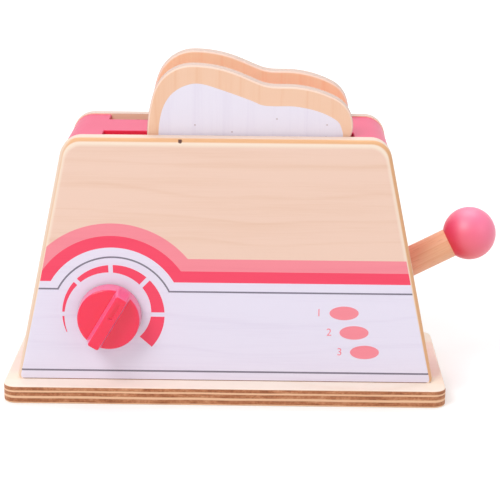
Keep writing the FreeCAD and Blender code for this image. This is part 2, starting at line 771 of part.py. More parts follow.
def make_lift_cheek(label, face):
    """Upright of the lift with a level slot, where the lever's cross bar slides."""
    cheek = new_body(label, x=CHEEK_X, y=face * CHEEK_Y, z=BASE_TOP + size("resting_gap"))
    outline = new_sketch(cheek, label + "_outline", "XZ_Plane")
    height = size("cheek_height")
    rectangle(outline, size("cheek_width"), height, 0, height / 2)
    pad(cheek, outline, size("cheek_thickness"), symmetric=True)
    dress(cheek, "Fillet", size("cheek_foot_radius"),
          lambda edge: lies_at(edge, "Z", 0) and runs_along(edge, Y_AXIS))
    bar = size("cross_bar_diameter") / 2
    radius = bar + (size("resting_gap") + size("cheek_slot_drop_gap")) / 2
    level = (BAR_REST_Z - BASE_TOP - size("resting_gap") + bar + size("resting_gap")) - radius
    half_travel = (BAR_REST_X - BAR_LAST_X) / 2 + size("cheek_slot_end_gap")
    slot = new_sketch(cheek, label + "_slot", "XZ_Plane")
    obround(slot, radius, (-half_travel, level), (half_travel, level))
    pocket_through(cheek, slot)
    return cheek


def make_lift_guide(label, side):
    top = BASE_TOP + TOP_UNDERSIDE
    depth = size("guide_socket_depth") - size("resting_gap")
    length = TOP_UNDERSIDE + 2 * depth
    return round_bar(label, size("guide_diameter") / 2, length, size("bar_end_easing"),
                     x=side * GUIDE_X, y=-side * size("guide_offset"), z=(BASE_TOP + top) / 2)


# Dial: a moulded knob with a grip, held through the front panel by a spindle and a nut

def make_dial_knob():
    knob = new_body("dial_knob", x=size("dial_x"), y=-BODY_HALF - KNOB_STANDOFF, z=DIAL_Z,
                    axis=Y_AXIS, angle=size("dial_angle"))
    rim = new_sketch(knob, "knob_rim", "XZ_Plane")
    radius = size("knob_diameter") / 2
    circle(rim, radius)
    pad(knob, rim, size("knob_height"), taper=size("knob_draft"))
    dress(knob, "Fillet", size("knob_rim_radius"),
          lambda edge: edge.Closed and lies_at(edge, "Y", -size("knob_height")))
    root = size("knob_height") / 2
    grip = new_sketch(knob, "grip_plan", "XZ_Plane", z=root)
    rounded_rectangle(grip, size("grip_width"), 2 * (radius + size("grip_overhang")),
                      size("grip_corner_radius"))
    pad(knob, grip, size("knob_height") - root + size("grip_height"), taper=size("grip_draft"))
    top = -(size("knob_height") + size("grip_height"))
    dress(knob, "Fillet", size("grip_top_radius"), lambda edge: lies_at(edge, "Y", top))
    pointer = new_sketch(knob, "pointer", "XZ_Plane", z=-top)
    high = radius - size("pointer_setback")
    obround(pointer, size("pointer_width") / 2, (0, high - size("pointer_length")), (0, high))
    pocket_blind(knob, pointer, size("pointer_depth"))
    drill(knob, size("spindle_diameter") / 2 + size("glue_gap"), size("spindle_socket_depth"),
          0, 0, 0, X_AXIS, 90)
    return knob


def make_dial_spindle():
    into_knob = size("spindle_socket_depth") - size("resting_gap")
    inside = size("dial_washer_thickness") + size("dial_end_play") + size("dial_nut_height")
    length = into_knob + KNOB_STANDOFF + size("panel_thickness") + inside
    front = -(BODY_HALF + KNOB_STANDOFF + into_knob)
    return round_bar("dial_spindle", size("spindle_diameter") / 2, length, size("bar_end_easing"),
                     x=size("dial_x"), y=front + length / 2, z=DIAL_Z, axis=X_AXIS, angle=90)


def make_dial_washer(label, face):
    """Thin washer that lies flat on one face of the front panel."""
    washer = new_body(label, x=size("dial_x"), y=face, z=DIAL_Z)
    ring = new_sketch(washer, label + "_ring", "XZ_Plane")
    circle(ring, size("dial_washer_diameter") / 2)
    circle(ring, size("spindle_diameter") / 2 + size("turning_gap"))
    pad(washer, ring, size("dial_washer_thickness"))
    return washer


def make_dial_nut():
    near_face = -CORE_HALF + size("dial_washer_thickness") + size("dial_end_play")
    nut = new_body("dial_nut", x=size("dial_x"), y=near_face, z=DIAL_Z)
    outline = new_sketch(nut, "nut_outline", "XZ_Plane")
    corner = size("dial_nut_width") / 2 / math.cos(math.radians(30))
    polygon(outline, [(corner * math.cos(math.radians(turn)), corner * math.sin(math.radians(turn)))
                      for turn in range(0, 360, 60)])
    circle(outline, size("spindle_diameter") / 2 + size("glue_gap"))
    pad(nut, outline, size("dial_nut_height"), backwards=True)
    return nut


# Fasteners

def make_screw(x, y):
    """Countersunk wood screw that points up, its head at the underside of the base."""
    shank_radius = size("screw_diameter") / 2
    sink = size("screw_sink")
    head_height = size("screw_head_height")
    tip_length = size("screw_tip_length")
    head = doc.addObject("Part::Cone", "ScrewHead")
    bind(head, "Radius1", size("screw_head_diameter") / 2)
    bind(head, "Radius2", shank_radius)
    bind(head, "Height", head_height)
    place(head, x, y, sink)
    shank = doc.addObject("Part::Cylinder", "ScrewShank")
    bind(shank, "Radius", shank_radius)
    bind(shank, "Height", size("screw_length") - head_height - tip_length)
    place(shank, x, y, sink + head_height)
    tip = doc.addObject("Part::Cone", "ScrewTip")
    bind(tip, "Radius1", shank_radius)
    bind(tip, "Radius2", size("screw_tip_diameter") / 2)
    bind(tip, "Height", tip_length)
    place(tip, x, y, sink + size("screw_length") - tip_length)
    solid = doc.addObject("Part::MultiFuse", "ScrewSolid")
    solid.Shapes = [head, shank, tip]
    solid.Refine = True
    cross = []
    for long_x, long_y in ((1, 0), (0, 1)):
        bar = doc.addObject("Part::Box", "ScrewRecess")
        width, length = size("screw_recess_width"), size("screw_recess_length")
        across_x = length if long_x else width
        across_y = length if long_y else width
        bind(bar, "Length", across_x)
        bind(bar, "Width", across_y)
        bind(bar, "Height", size("screw_recess_depth"))
        place(bar, x - across_x / 2, y - across_y / 2, sink)
        cross.append(bar)
    recess = doc.addObject("Part::MultiFuse", "ScrewCross")
    recess.Shapes = cross
    screw = doc.addObject("Part::Cut", "Screw")
    screw.Base = solid
    screw.Tool = recess
    return screw


def make_base_screws():
    screws = doc.addObject("Part::Compound", "base_screws")
    screws.Links = [make_screw(x, y) for x in SCREW_ROWS for y in (-PANEL_MIDDLE, PANEL_MIDDLE)]
    return screws


def make_panel_dowels():
    dowels = []
    for face in (-1, 1):
        outer_end = CORE_HALF + size("dowel_panel_depth") - size("resting_gap")
        for x, rise in dowel_places():
            dowel = doc.addObject("Part::Cylinder", "Dowel")
            bind(dowel, "Radius", size("dowel_diameter") / 2)
            bind(dowel, "Height", size("dowel_length") - size("resting_gap"))
            place(dowel, x, face * outer_end, BASE_TOP + rise, X_AXIS, 90 * face)
            dowels.append(dowel)
    group = doc.addObject("Part::Compound", "panel_dowels")
    group.Links = dowels
    return group


pieces = [
    make_base_board(),
    make_front_panel(),
    make_back_panel(),
    make_side_board("side_board_left", -1),
    make_side_board_right(),
    make_top_board(),
    make_toast("toast_front", -1, 0, size("front_slice_drop")),
    make_toast("toast_rear", 1, size("rear_slice_setback"), 0),
    make_lever_rod(),
    make_lever_ball(),
    make_lever_pivot_pin(),
    make_lever_cross_bar(),
    make_lift_tray(),
    make_lift_cheek("lift_cheek_front", -1),
    make_lift_cheek("lift_cheek_rear", 1),
    make_lift_guide("lift_guide_left", -1),
    make_lift_guide("lift_guide_right", 1),
    make_dial_knob(),
    make_dial_spindle(),
    make_dial_washer("dial_front_washer", -BODY_HALF),
    make_dial_washer("dial_rear_washer", -CORE_HALF + size("dial_washer_thickness")),
    make_dial_nut(),
    make_base_screws(),
    make_panel_dowels(),
]
doc.recompute()

# Checks and files

for thing in doc.Objects:
    if {"Invalid", "Error"} & set(thing.State):
        raise RuntimeError(f"{thing.Label} did not build: {thing.State}")
for piece in pieces:
    if piece.Shape.isNull() or not piece.Shape.isValid():
        raise RuntimeError(f"{piece.Label} has no valid shape")

os.makedirs("parts", exist_ok=True)
for piece in pieces:
    piece.Shape.exportStep(f"parts/{piece.Label}.step")
    print(f"{piece.Label:20s} {len(piece.Shape.Solids)} solid(s) {piece.Shape.Volume:10.1f} mm3")

lift = size("lever_arm") * (sine(LEVER_END_ANGLE) + sine(size("lever_angle")))
print(f"pivot {PIVOT_X.number:.3f} {PIVOT_Z.number:.3f}, lift {lift.number:.3f}, toast x {TOAST_X.number:.3f}")
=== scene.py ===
import json
import math

import bmesh
import bpy
from mathutils import Matrix, Vector

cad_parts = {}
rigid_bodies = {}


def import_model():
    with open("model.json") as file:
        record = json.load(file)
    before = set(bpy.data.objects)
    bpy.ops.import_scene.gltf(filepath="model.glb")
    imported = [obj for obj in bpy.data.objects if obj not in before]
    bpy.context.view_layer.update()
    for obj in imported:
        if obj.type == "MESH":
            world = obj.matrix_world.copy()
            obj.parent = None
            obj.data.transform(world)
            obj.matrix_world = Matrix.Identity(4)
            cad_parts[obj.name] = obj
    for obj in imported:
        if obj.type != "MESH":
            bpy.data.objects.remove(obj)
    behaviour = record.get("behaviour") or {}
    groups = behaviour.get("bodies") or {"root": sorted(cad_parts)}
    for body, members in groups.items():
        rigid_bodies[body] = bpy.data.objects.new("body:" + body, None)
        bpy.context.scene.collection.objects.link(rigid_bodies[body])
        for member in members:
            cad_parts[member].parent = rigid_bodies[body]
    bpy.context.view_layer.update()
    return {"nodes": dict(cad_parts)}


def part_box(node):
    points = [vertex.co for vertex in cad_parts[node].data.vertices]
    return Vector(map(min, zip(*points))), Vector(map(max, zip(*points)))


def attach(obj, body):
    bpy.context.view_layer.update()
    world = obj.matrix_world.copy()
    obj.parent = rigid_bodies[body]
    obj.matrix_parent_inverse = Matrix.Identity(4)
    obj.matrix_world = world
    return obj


# Looks of a wooden toy toaster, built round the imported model.
# Lengths are millimetres in the tables and outlines below, and metres in Blender.
# X to the right, Y to the back, Z up, as in the model.

for leftover in list(bpy.data.objects):
    bpy.data.objects.remove(leftover)
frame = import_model()

MM = 0.001
X, Y, Z = range(3)

# Camera, as fitted to the photograph

FOCAL_SHARE = 3.1644
CAMERA_PLACE = (20.76, -811.75, 307.57)
CAMERA_PITCH = 16.28
CAMERA_YAW = 0.60
CAMERA_ROLL = 0.47
CAMERA_NEAR = 50.0

# Light and floor, in metres and watts: each lamp's name, place, width and power

LAMPS = (
    ("key", (-0.9, -1.1, 1.6), 0.9, 18.6),
    ("fill", (1.3, -0.9, 0.9), 1.0, 3.2),
    ("top", (0.1, 0.6, 1.6), 1.2, 10.3),
)
LAMP_AIM = (0.0, 0.0, 0.07)
WORLD_LEVEL = 0.51
FLOOR_HALF = 8.0
FLOOR_GREY = 0.84
FLOOR_GLOW = 0.27
FAR_EXTRA_GLOW = 0.5
FAR_START = 0.5
FAR_END = 1.8

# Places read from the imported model

panel_low, panel_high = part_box("front_panel")
PANEL_FACE = panel_low.y / MM
PANEL_FOOT = panel_low.z / MM
PANEL_TOP = panel_high.z / MM
PLY_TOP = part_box("base_board")[1].z

# Plywood: where each ply ends above the underside, and how soft and uneven those lines are

PLY_ENDS = (0.95, 3.05, 4.3, 6.3, 7.25, 9.15)
PLY_BLUR = 0.12
PLY_WAVER = 0.7

# The printed front: sizes on the front panel's flat face

PANEL_FOOT_HALF = 109.0
PANEL_TOP_HALF = 82.0
ROUND_OVER = 3.0
SIDE_SLOPE = (PANEL_FOOT_HALF - PANEL_TOP_HALF) / (PANEL_TOP - PANEL_FOOT)
SIDE_LEAN = math.hypot(1.0, SIDE_SLOPE)
FOOT_RADIUS = 2.5
CORNER_RADIUS = 11.0
# A painted highlight, a pale colour just inside the panel's edges: full up to one distance from them, gone
# at another
PAINTED_GLEAM_FULL = 3.0
PAINTED_GLEAM_END = 4.7
PAINTED_GLEAM_SIDE_SHORTER = 0.9
KNOT_PLACE = (-22.9, -35.2, 137.2)
KNOT_CORE = 1.35
KNOT_END = 1.75
KNOT_RAGGED = 0.9
# How far the print is set in from the panel's sides, at the foot and above
INSET_AT_FOOT = 1.6
INSET_ABOVE = 2.4
INSET_RUN = 49.5
LAP_CUTS = (3.0, 2.6, 2.2, 1.9, 1.6, 1.3)
FOOT_STEPS = (2.5, 1.7, 0.9, 0.4, 0.0)
INK_THICKNESS = 0.04
# Upper edge of each printed shape: flat height on the left and the right, arc's middle and radius
LIGHT_EDGE = (75.7, 75.7, (-58.1, 44.0), 50.2)
DARK_EDGE = (69.0, 69.1, (-58.3, 44.2), 43.4)
WHITE_EDGE = (63.1, 63.1, (-58.1, 44.8), 36.6)
LINE_EDGE = (59.0, 58.1, (-57.75, 44.3), 32.0)
UPPER_LINE_WIDTH = 0.85
LOW_LINE_HEIGHT = 14.5
LOW_LINE_WIDTH = 0.95
# Height of the line of painted shade along the panel's foot, where it meets the base
FOOT_SHADE_HEIGHT = 0.4

# Dial scale: a ring that grows thinner the further it goes round from the right to the left

SCALE_MIDDLE = (-57.8, 45.6)
SCALE_RADIUS = 26.5
SCALE_THICKNESS = 7.0
SCALE_THINNING = 0.0325
SCALE_GAP = 2.35
SCALE_GAP_ANGLES = (180.4, 137.0, 92.5, 46.7, 0.0)
SCALE_FIRST_ANGLE = 202.5
SCALE_LAST_ANGLE = -42.0

# Printed buttons and the plain numbers beside them

BUTTON_SIZE = (15.1, 7.4)
BUTTON_PLACES = ((61.5, 47.4), (66.9, 36.8), (72.6, 26.1))
NUMBER_HEIGHT = 4.0
NUMBER_SETBACK = 13.0
# A figure's height as a share of the letters' size
FIGURE_SHARE = 0.7

# Crumb print on a slice, for the front slice in place

CRUMB_OUTLINE = (
    (-31.2, 86.0), (-31.4, 114.0), (-33.6, 127.0), (-34.4, 138.2), (-33.4, 147.5), (-31.0, 154.5),
    (-26.9, 159.9), (-20.6, 163.6), (-13.5, 164.6), (-3.2, 161.8), (11.9, 156.5), (18.0, 154.0),
    (24.0, 153.5), (35.1, 153.4), (46.8, 150.9), (55.9, 146.4), (58.6, 141.6), (59.0, 137.0),
    (56.2, 127.0), (53.4, 115.0), (53.2, 86.0), (45.0, 76.5), (-23.0, 76.5),
)
CRUMB_SPECKS = (
    (-15.9, 143.5), (2.9, 140.1), (25.6, 147.0), (51.0, 144.2), (50.6, 138.0), (-24.0, 128.0),
    (8.0, 121.0), (39.0, 126.5), (-8.0, 104.0), (28.0, 97.0), (46.0, 108.0), (-21.0, 90.0),
)
SPECK_RADIUS = 0.45

# The slots, whose long walls get painted shade in a deeper red

SLOT_HALF = 64.5
SLOT_FADE = 0.1

# Directions of grain, and how far two boards' grain is moved: a print has the shift of its board

LEVER_ANGLE = 27.5
GRAIN_ACROSS = (0.0, 0.0, 0.0)
GRAIN_UP = (0.0, math.radians(90), 0.0)
GRAIN_BACK = (0.0, 0.0, math.radians(90))
GRAIN_OF_LEVER = (0.0, math.radians(LEVER_ANGLE), 0.0)
PRINT_SHIFT = 0.37
CRUMB_SHIFT = 0.15


# Helpers for shapes

def empty_mesh(name):
    """Mesh object of that name, empty, in the scene."""
    piece = bpy.data.objects.new(name, bpy.data.meshes.new(name))
    bpy.context.scene.collection.objects.link(piece)
    return piece


def decal(name, outlines, face, material, body, thickness=INK_THICKNESS, bend=None):
    """Thin closed plates on a plane across Y: outlines are in X and Z, face is the plane's Y.
    A plate stands on the plane towards -Y for a positive thickness and towards +Y for a negative one."""
    piece = empty_mesh(name)
    mesh = bmesh.new()
    for outline in outlines:
        near = [mesh.verts.new((x * MM, (face - thickness) * MM, z * MM)) for x, z in outline]
        far = [mesh.verts.new((x * MM, face * MM, z * MM)) for x, z in outline]
        mesh.faces.new(near)
        mesh.faces.new(far[::-1])
        for i in range(len(outline)):
            j = (i + 1) % len(outline)
            mesh.faces.new((near[j], near[i], far[i], far[j]))
    if bend is not None:
        bend(mesh)
    bmesh.ops.recalc_face_normals(mesh, faces=mesh.faces)
    mesh.to_mesh(piece.data)
    mesh.free()
    piece.data.materials.append(material)
    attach(piece, body)
    return piece


def arc(middle, radius, start, end, step=2.0):
    """Points on a circle from one angle to another, in degrees."""
    count = max(2, math.ceil(abs(end - start) / step) + 1)
    turns = [math.radians(start + (end - start) * i / (count - 1)) for i in range(count)]
    return [(middle[0] + radius * math.cos(turn), middle[1] + radius * math.sin(turn)) for turn in turns]


def meet(middle, radius, start, heading):
    """Where a ray from inside a circle crosses it."""
    away = Vector(start) - Vector(middle)
    along = away.dot(heading)
    reach = -along + math.sqrt(along * along - away.length_squared + radius * radius)
    return Vector(start) + Vector(heading) * reach


def angle_from(middle, point):
    """Direction from the middle to the point, in degrees."""
    return math.degrees(math.atan2(point[1] - middle[1], point[0] - middle[0]))


def smooth_loop(points, steps=6):
    """Closed curve that goes smoothly through the points."""
    loop = []
    count = len(points)
    for i in range(count):
        before, start, end, after = (Vector(points[(i + k) % count]) for k in (-1, 0, 1, 2))
        for k in range(steps):
            t = k / steps
            turning = (2 * before - 5 * start + 4 * end - after) * t ** 2
            easing = (3 * start - before - 3 * end + after) * t ** 3
            loop.append(0.5 * (2 * start + (end - before) * t + turning + easing))
    return [(point.x, point.y) for point in loop]


# Helpers for materials

def colour(red, green, blue):
    """Colour of 0 to 255 as it shows on a screen, as Blender's linear colour."""
    def linear(value):
        value /= 255
        return value / 12.92 if value <= 0.04045 else ((value + 0.055) / 1.055) ** 2.4
    return (linear(red), linear(green), linear(blue), 1.0)


class Finish:
    """One material. Each method adds a node and gives its output."""

    SUBSURFACE_REACH = 2.0

    def __init__(self, name, roughness, coat=0.0, coat_roughness=0.1, subsurface=0.0):
        self.material = bpy.data.materials.new(name)
        self.material.use_nodes = True
        self.tree = self.material.node_tree
        self.surface = self.tree.nodes["Principled BSDF"]
        self.surface.inputs["Roughness"].default_value = roughness
        self.surface.inputs["Coat Weight"].default_value = coat
        self.surface.inputs["Coat Roughness"].default_value = coat_roughness
        self.surface.inputs["Subsurface Weight"].default_value = subsurface
        self.surface.inputs["Subsurface Scale"].default_value = self.SUBSURFACE_REACH * MM
        where = self.add("ShaderNodeTexCoord")
        self.place = where.outputs["Object"]
        self.normal = where.outputs["Normal"]

    def add(self, kind, **settings):
        """New node of that kind."""
        node = self.tree.nodes.new(kind)
        for setting, value in settings.items():
            setattr(node, setting, value)
        return node

    def feed(self, socket, value):
        """Link another node's output to a socket, or set the socket to a constant."""
        if isinstance(value, bpy.types.NodeSocket):
            self.tree.links.new(value, socket)
        else:
            socket.default_value = value

    def stretch(self, scale, rotation=(0.0, 0.0, 0.0), vector=None):
        """Place on the object, turned and stretched. A larger scale gives a finer pattern."""
        node = self.add("ShaderNodeMapping")
        self.feed(node.inputs["Vector"], self.place if vector is None else vector)
        node.inputs["Scale"].default_value = scale
        node.inputs["Rotation"].default_value = rotation
        return node.outputs["Vector"]

    def noise(self, vector, scale=1.0, detail=2.0, roughness=0.5):
        """Cloudy pattern of 0 to 1."""
        node = self.add("ShaderNodeTexNoise")
        self.feed(node.inputs["Vector"], vector)
        node.inputs["Scale"].default_value = scale
        node.inputs["Detail"].default_value = detail
        node.inputs["Roughness"].default_value = roughness
        return node.outputs["Fac"]

    def calc(self, operation, one, other=0.0, third=0.0, clamp=False):
        """Result of a calculation with up to three numbers."""
        node = self.add("ShaderNodeMath", operation=operation, use_clamp=clamp)
        for socket, value in zip(node.inputs, (one, other, third)):
            self.feed(socket, value)
        return node.outputs[0]

    def parts(self, vector):
        """The X, Y and Z of a vector."""
        node = self.add("ShaderNodeSeparateXYZ")
        self.feed(node.inputs[0], vector)
        return node.outputs

    def facing(self, axis):
        """How squarely the surface faces along an axis, either way, 0 to 1."""
        return self.calc("ABSOLUTE", self.parts(self.normal)[axis])

    def ramp(self, value, stops):
        """Grey or coloured ramp: stops are (place, grey or colour)."""
        node = self.add("ShaderNodeValToRGB")
        self.feed(node.inputs["Fac"], value)
        elements = node.color_ramp.elements
        while len(elements) < len(stops):
            elements.new(0.5)
        for element, (where, shade) in zip(elements, stops):
            element.position = where
            element.color = shade if isinstance(shade, tuple) else (shade, shade, shade, 1.0)
        return node.outputs["Color"]

    def between(self, value, low, high):
        """0 below low, 1 above high, straight between them."""
        node = self.add("ShaderNodeMapRange")
        self.feed(node.inputs["Value"], value)
        node.inputs["From Min"].default_value = low
        node.inputs["From Max"].default_value = high
        return node.outputs["Result"]

    def mix(self, share, one, other):
        """The first colour where the share is 0, the other where it is 1."""
        node = self.add("ShaderNodeMix", data_type="RGBA")
        self.feed(node.inputs["Factor"], share)
        self.feed(node.inputs[6], one)
        self.feed(node.inputs[7], other)
        return node.outputs[2]

    def bump(self, height, distance):
        """Relief whose full height is that distance, in metres."""
        node = self.add("ShaderNodeBump")
        self.feed(node.inputs["Height"], height)
        node.inputs["Distance"].default_value = distance
        self.feed(self.surface.inputs["Normal"], node.outputs["Normal"])

    def paint(self, shade):
        """Give the surface its colour. This finishes the material."""
        self.feed(self.surface.inputs["Base Color"], shade)
        return self.material


class Grain:
    """The grain of one board: growth lines, streaks and fibres along a direction."""

    RING_TILT = 0.35
    SWAY = 2.2
    SWAY_STRETCH = (7.0, 14.0, 14.0)
    STREAK_STRETCH = (7.0, 190.0, 190.0)
    FIBRE_STRETCH = (40.0, 1700.0, 1700.0)
    CLOUD_STRETCH = (9.0, 26.0, 26.0)
    LINE_STOPS = [(0.0, 0.0), (0.55, 0.0), (0.8, 0.35), (0.9, 1.0), (1.0, 0.0)]

    def __init__(self, finish, turn=GRAIN_ACROSS, line_spacing=14.0, shift=0.0):
        self.finish = finish
        board = finish.stretch((1.0, 1.0, 1.0), turn)
        moved = finish.add("ShaderNodeVectorMath", operation="ADD")
        finish.feed(moved.inputs[0], board)
        moved.inputs[1].default_value = (shift, shift, shift)
        self.board = moved.outputs["Vector"]
        _, depth, across = finish.parts(self.board)
        rings = finish.calc("MULTIPLY_ADD", depth, self.RING_TILT, across)
        sway = finish.calc("MULTIPLY", self.layer(self.SWAY_STRETCH, 2.0), self.SWAY)
        rings = finish.calc("MULTIPLY_ADD", rings, 1 / (line_spacing * MM), sway)
        self.lines = finish.ramp(finish.calc("FRACT", rings), self.LINE_STOPS)
        self.streaks = self.layer(self.STREAK_STRETCH, 3.0)
        self.fibres = self.layer(self.FIBRE_STRETCH, 2.0)
        self.clouds = self.layer(self.CLOUD_STRETCH, 1.0)

    def layer(self, stretch, detail):
        """Noise drawn out along the grain."""
        return self.finish.noise(self.finish.stretch(stretch, vector=self.board), detail=detail)

    def share(self, lines, streaks, fibres, clouds=0.0):
        """How much darker than the palest wood, 0 to 1."""
        finish = self.finish
        total = finish.calc("MULTIPLY", self.lines, lines)
        for part, weight in ((self.streaks, streaks), (self.fibres, fibres), (self.clouds, clouds)):
            total = finish.calc("MULTIPLY_ADD", part, weight, total)
        middle = (streaks + fibres + clouds) / 2
        return finish.calc("SUBTRACT", total, middle, clamp=True)


def make_board(name, pale, dark, edge=None, turn=GRAIN_ACROSS, line_spacing=14.0, shift=0.0,
               lines=0.5, streaks=0.7, fibres=0.35, clouds=0.4, roughness=0.5, relief=0.03):
    """Bare or lacquered wood. Edge is the colour of its edges by how far they turn from the Y axis,
    as stops of (share of the normal along Y, colour)."""
    finish = Finish(name, roughness)
    grain = Grain(finish, turn, line_spacing, shift)
    share = grain.share(lines, streaks, fibres, clouds)
    shade = finish.mix(share, pale, dark)
    if edge is not None:
        facing = finish.facing(Y)
        edge_grain = finish.calc("MULTIPLY", share, 0.25)
        tint = finish.mix(edge_grain, finish.ramp(facing, edge), dark)
        shade = finish.mix(finish.between(facing, 0.95, 0.99), tint, shade)
    finish.bump(grain.fibres, relief * MM)
    return finish, shade


PANEL_FACE_COLOURS = (colour(244, 209, 190), colour(225, 178, 143))


def make_panel_wood():
    """The back panel's wood, with greyish edges and an inner face made paler by painted light."""
    edge = [(0.0, colour(223, 198, 185)), (0.3, colour(208, 188, 178)), (0.9, colour(212, 190, 178))]
    finish, shade = make_board("panel_wood", *PANEL_FACE_COLOURS, edge=edge, shift=0.11, lines=0.3)
    inner = finish.between(finish.parts(finish.normal)[Y], -0.6, -0.9)
    # Painted light: the inner face, seen down the slots, gets a paler colour as if lit by light bounced in
    # the slots.
    return finish.paint(finish.mix(inner, shade, colour(255, 224, 192)))


def from_panel_edge(finish):
    """How far a place on the front panel lies inside its top, its sides and its round corners."""
    x, _, z = finish.parts(finish.place)
    down = finish.calc("MULTIPLY_ADD", z, -1.0, PANEL_TOP * MM)
    half = finish.calc("MULTIPLY_ADD", z, -SIDE_SLOPE, (PANEL_FOOT_HALF + SIDE_SLOPE * PANEL_FOOT) * MM)
    inwards = finish.calc("SUBTRACT", half, finish.calc("ABSOLUTE", x))
    inwards = finish.calc("MULTIPLY_ADD", inwards, 1 / SIDE_LEAN, PAINTED_GLEAM_SIDE_SHORTER * MM)
    squares = []
    for far in (down, inwards):
        short = finish.calc("MAXIMUM", finish.calc("SUBTRACT", CORNER_RADIUS * MM, far), 0.0)
        squares.append(finish.calc("MULTIPLY", short, short))
    from_middle = finish.calc("SQRT", finish.calc("ADD", *squares))
    return finish.calc("SUBTRACT", CORNER_RADIUS * MM, from_middle)


def make_knotted_wood():
    """The front panel's wood: a tan line along its rounded edges, paler on the left through painted light,
    a painted highlight just inside them, thinner down the sides, and one small dark knot."""
    tan = colour(232, 177, 129)
    edge = [(0.0, colour(237, 215, 200)), (0.25, colour(242, 210, 184)), (0.45, tan), (0.9, tan)]
    finish, shade = make_board("panel_wood_front", *PANEL_FACE_COLOURS, edge=edge, shift=PRINT_SHIFT,
                               lines=0.22)
    facing = finish.facing(Y)
    # Painted light: the left rounded edge, which faces the light, gets a paler colour than the tan of the
    # other edges.
    left = finish.between(finish.parts(finish.normal)[X], -0.3, -0.6)
    painted_left_light = finish.calc("MULTIPLY", left, finish.between(facing, 0.97, 0.9))
    shade = finish.mix(painted_left_light, shade, colour(240, 212, 190))
    # Painted highlight: a pale colour on the face just inside the top and the sides, where a rounding would
    # catch the light.
    near_edge = finish.between(from_panel_edge(finish), PAINTED_GLEAM_END * MM, PAINTED_GLEAM_FULL * MM)
    painted_gleam = finish.calc("MULTIPLY", near_edge, finish.between(facing, 0.88, 0.97))
    shade = finish.mix(painted_gleam, shade, colour(252, 231, 212))
    away = finish.add("ShaderNodeVectorMath", operation="DISTANCE")
    finish.feed(away.inputs[0], finish.place)
    away.inputs[1].default_value = [part * MM for part in KNOT_PLACE]
    ragged = finish.noise(finish.place, 1400.0)
    reach = finish.calc("MULTIPLY_ADD", ragged, KNOT_RAGGED * MM, away.outputs["Value"])
    knot = finish.between(reach, KNOT_END * MM, KNOT_CORE * MM)
    return finish.paint(finish.mix(knot, shade, colour(84, 40, 30)))


def make_plywood():
    """Seven plies on the edges, a pale veneer on both faces."""
    finish = Finish("plywood", 0.55)
    grain = Grain(finish, line_spacing=20.0, shift=1.3)
    veneer_share = grain.share(lines=0.25, streaks=0.5, fibres=0.3, clouds=0.4)
    veneer = finish.mix(veneer_share, colour(255, 240, 225), colour(245, 216, 188))
    height = finish.parts(finish.place)[Z]
    wobble = finish.noise(finish.stretch((40.0, 40.0, 90.0)), detail=2.0)
    wobble = finish.calc("SUBTRACT", wobble, 0.5)
    height = finish.calc("MULTIPLY_ADD", wobble, PLY_WAVER * MM, height)
    stops = [(0.0, 0.0)]
    for number, end in enumerate(PLY_ENDS):
        before, after = (0.0, 1.0) if number % 2 == 0 else (1.0, 0.0)
        stops.append(((end - PLY_BLUR) * MM / PLY_TOP, before))
        stops.append(((end + PLY_BLUR) * MM / PLY_TOP, after))
    crosswise = finish.ramp(finish.between(height, 0.0, PLY_TOP), stops)
    rough = finish.noise(finish.stretch((420.0, 420.0, 520.0)), detail=4.0, roughness=0.7)
    patch = finish.noise(finish.stretch((90.0, 90.0, 330.0)), detail=3.0, roughness=0.6)
    mottle = finish.calc("MULTIPLY_ADD", rough, 0.55, finish.calc("MULTIPLY", patch, 0.6))
    dark_ply = finish.ramp(mottle, [(0.36, colour(131, 71, 36)), (0.52, colour(171, 104, 64)),
                                    (0.62, colour(191, 125, 84)), (0.78, colour(218, 159, 119))])
    light_share = grain.share(lines=0.3, streaks=0.9, fibres=0.4)
    light_ply = finish.mix(light_share, colour(247, 200, 160), colour(222, 158, 112))
    side = finish.mix(crosswise, light_ply, dark_ply)
    facing = finish.facing(Z)
    pit = finish.calc("MULTIPLY", rough, crosswise)
    finish.bump(finish.calc("SUBTRACT", grain.fibres, pit), 0.12 * MM)
    return finish.paint(finish.mix(finish.between(facing, 0.35, 0.7), side, veneer))


def make_toast_wood(name, pale, dark, shift):
    """Slice of toast: stained faces, a greyish edge and a pale line of painted highlight where the edge is
    eased.
    """
    # The last two stops are a painted highlight on the eased edge.
    edge = [(0.0, colour(216, 189, 176)), (0.45, colour(220, 192, 178)), (0.65, colour(250, 217, 202)),
            (0.9, colour(252, 218, 198))]
    finish, shade = make_board(name, pale, dark, edge=edge, turn=GRAIN_UP, line_spacing=11.0,
                               shift=shift, lines=0.25, streaks=0.6, fibres=0.4, clouds=0.5)
    return finish.paint(shade)


def make_dowel_wood(name, turn, shift=0.0):
    """Beech dowel: straight grain with short dark flecks."""
    finish = Finish(name, 0.42)
    grain = Grain(finish, turn, 5.0, shift)
    share = grain.share(lines=0.3, streaks=0.8, fibres=0.5, clouds=0.5)
    shade = finish.mix(share, colour(246, 192, 148), colour(224, 143, 95))
    fleck = finish.between(grain.layer((150.0, 1500.0, 1500.0), 1.0), 0.62, 0.72)
    shade = finish.mix(finish.calc("MULTIPLY", fleck, 0.25), shade, colour(184, 112, 76))
    finish.bump(grain.fibres, 0.04 * MM)
    return finish.paint(shade)


def make_inner_wood():
    """Plain bare wood of the lift."""
    finish, shade = make_board("inner_wood", colour(238, 204, 164), colour(206, 158, 110),
                               line_spacing=10.0, shift=2.1, roughness=0.65, relief=0.05)
    return finish.paint(shade)


